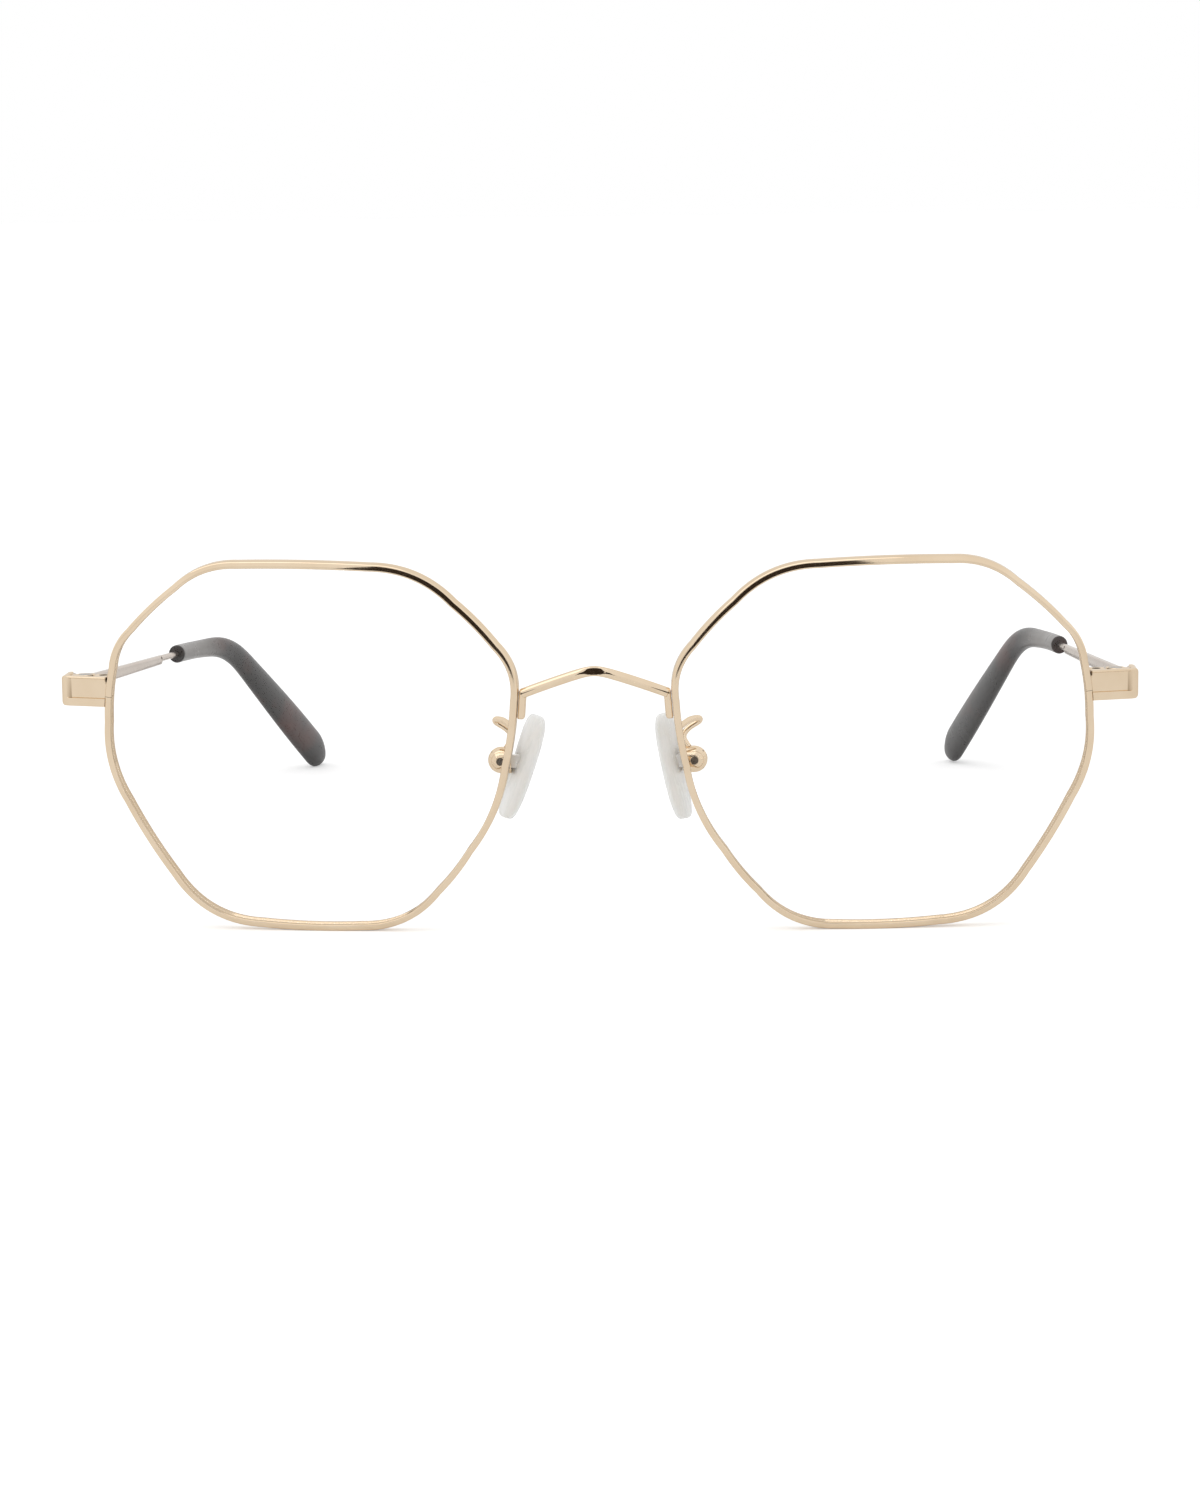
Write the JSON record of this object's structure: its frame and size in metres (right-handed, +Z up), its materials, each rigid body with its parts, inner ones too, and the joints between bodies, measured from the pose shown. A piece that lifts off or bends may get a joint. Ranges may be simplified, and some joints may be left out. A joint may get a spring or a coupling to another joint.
{
  "type": "eyeglasses",
  "caption": "Thin metal eyeglasses with octagonal eyes, clear lenses, a wire bridge, adjustable nose pads and folding temples with dark tips.",
  "frame": {"origin": "on the surface that the open glasses stand on, under the middle of their box", "axes": "+X towards the wearer's left, +Y from the front back to the temple tips, +Z up"},
  "size_m": [0.1406, 0.1468, 0.0492],
  "materials": {
    "frame_metal": "polished plating, pale warm gold",
    "steel": "plain small screws and inserts",
    "lens": "clear, coated",
    "tip": "dark mottled, satin gloss",
    "pad": "clear milky silicone"
  },
  "bodies": {
    "front": {"bridge": "frame_metal", "rim_right": "frame_metal", "rim_left": "frame_metal", "lens_right": "lens", "lens_left": "lens", "closing_block_upper_right": "frame_metal", "closing_block_upper_left": "frame_metal", "closing_block_lower_right": "frame_metal", "closing_block_lower_left": "frame_metal", "closing_screw_right": "steel", "closing_screw_left": "steel", "endpiece_right": "frame_metal", "endpiece_left": "frame_metal", "hinge_front_right": "frame_metal", "hinge_front_left": "frame_metal", "hinge_screw_right": "steel", "hinge_screw_left": "steel", "pad_arm_right": "frame_metal", "pad_arm_left": "frame_metal", "pad_box_right": "frame_metal", "pad_box_left": "frame_metal", "pad_screw_right": "steel", "pad_screw_left": "steel"},
    "right_temple": {"temple_right": "frame_metal", "hinge_temple_right": "frame_metal", "temple_tip_right": "tip"},
    "left_temple": {"temple_left": "frame_metal", "hinge_temple_left": "frame_metal", "temple_tip_left": "tip"},
    "right_pad": {"nose_pad_right": "pad", "pad_insert_right": "steel"},
    "left_pad": {"nose_pad_left": "pad", "pad_insert_left": "steel"}
  },
  "joints": [
    {"name": "left_temple_fold", "type": "hinge", "parent": "front", "child": "left_temple", "pos_m": [0.06755, -0.06326, 0.03182], "axis": [0, 0, 1], "range_deg": [0, 84]},
    {"name": "right_temple_fold", "type": "hinge", "parent": "front", "child": "right_temple", "pos_m": [-0.06755, -0.06326, 0.03182], "axis": [0, 0, -1], "range_deg": [0, 76]},
    {"name": "left_pad_rock", "type": "hinge", "parent": "front", "child": "left_pad", "pos_m": [0.01268, -0.06559, 0.02216], "axis": [0, 1, 0], "range_deg": [-7, 7]},
    {"name": "right_pad_rock", "type": "hinge", "parent": "front", "child": "right_pad", "pos_m": [-0.01268, -0.06559, 0.02216], "axis": [0, -1, 0], "range_deg": [-7, 7]}
  ]
}
